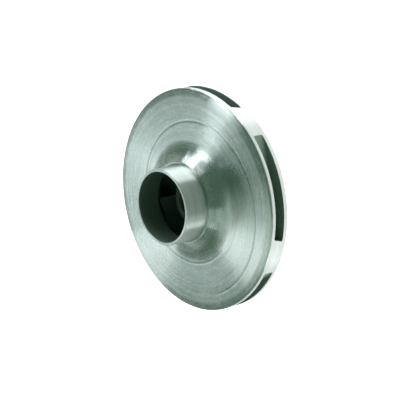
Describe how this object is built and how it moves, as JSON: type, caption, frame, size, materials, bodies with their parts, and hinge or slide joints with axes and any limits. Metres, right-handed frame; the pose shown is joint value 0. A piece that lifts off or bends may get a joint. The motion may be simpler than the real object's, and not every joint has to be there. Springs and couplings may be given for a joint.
{
  "type": "closed centrifugal pump impeller",
  "caption": "Closed centrifugal pump impeller in turned stainless steel, with a thin suction neck, flared front shroud, swept vanes, flat back plate and keyed hub.",
  "frame": {"origin": "centre of the hub's rear face, on the rotation axis, which is the lowest face as the part lies on a table", "axes": "+Z along the rotation axis towards the suction neck, +X through the middle of the keyway"},
  "size_m": [0.16, 0.16, 0.0488],
  "materials": {
    "turned_neck": "finely turned, bright, with rings round the axis",
    "turned_shroud": "faced on a lathe, satin, with fine rings and one spiral tool mark",
    "turned_plate": "faced on a lathe, satin, with fine rings",
    "bored_hub": "bored and turned, satin",
    "milled_vane": "dull sides inside the passages, bright turned ends at the rim"
  },
  "bodies": {
    "root": {"suction_neck": "turned_neck", "front_shroud": "turned_shroud", "back_plate": "turned_plate", "hub": "bored_hub", "vane_1": "milled_vane", "vane_2": "milled_vane", "vane_3": "milled_vane", "vane_4": "milled_vane", "vane_5": "milled_vane"}
  },
  "joints": []
}
